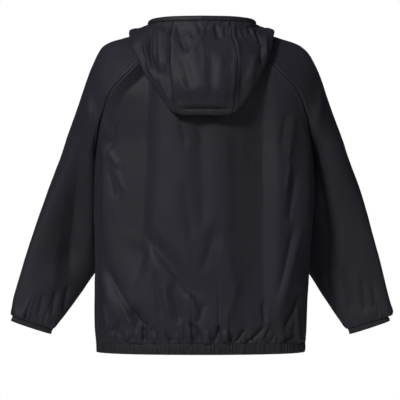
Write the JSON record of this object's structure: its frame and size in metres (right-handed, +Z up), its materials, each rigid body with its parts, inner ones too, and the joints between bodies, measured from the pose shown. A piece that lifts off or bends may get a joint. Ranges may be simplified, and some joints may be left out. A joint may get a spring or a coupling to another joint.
{
  "type": "windbreaker jacket",
  "caption": "Hooded raglan windbreaker jacket as worn, with a full front zip, the three-panel hood hanging down the back, and elastic at hood edge, cuffs and back hem.",
  "frame": {"origin": "the point midway between the wearer's shoulder tips, inside the empty jacket below the neck opening, where the wearer holds it up", "axes": "+X to the wearer's left, -Y to the front of the jacket, +Z up"},
  "size_m": [0.844, 0.2857, 0.7278],
  "materials": {
    "shell": "thin tightly woven nylon with a soft satin sheen",
    "casing": "the same nylon doubled over an elastic and gathered",
    "zip_tape": "matt woven polyester tape",
    "zip_teeth": "dark nylon coil",
    "zip_metal": "black enamelled die-cast metal"
  },
  "bodies": {
    "jacket": {"back": "shell", "front_left": "shell", "front_right": "shell", "sleeve_left": "shell", "sleeve_right": "shell", "hood_centre": "shell", "hood_side_left": "shell", "hood_side_right": "shell", "hem_casing": "casing", "cuff_left": "casing", "cuff_right": "casing", "hood_rim": "casing", "zip_tape_left": "zip_tape", "zip_tape_right": "zip_tape", "zip_teeth": "zip_teeth", "zip_box": "zip_teeth", "zip_slider": "zip_metal"},
    "pull_tab": {"zip_pull": "zip_metal"}
  },
  "joints": [
    {"name": "pull_tab_swing", "type": "hinge", "parent": "jacket", "child": "pull_tab", "pos_m": [-0.00226, -0.10748, 0.0267], "axis": [-1, 0, 0], "range_deg": [0, 170]}
  ]
}
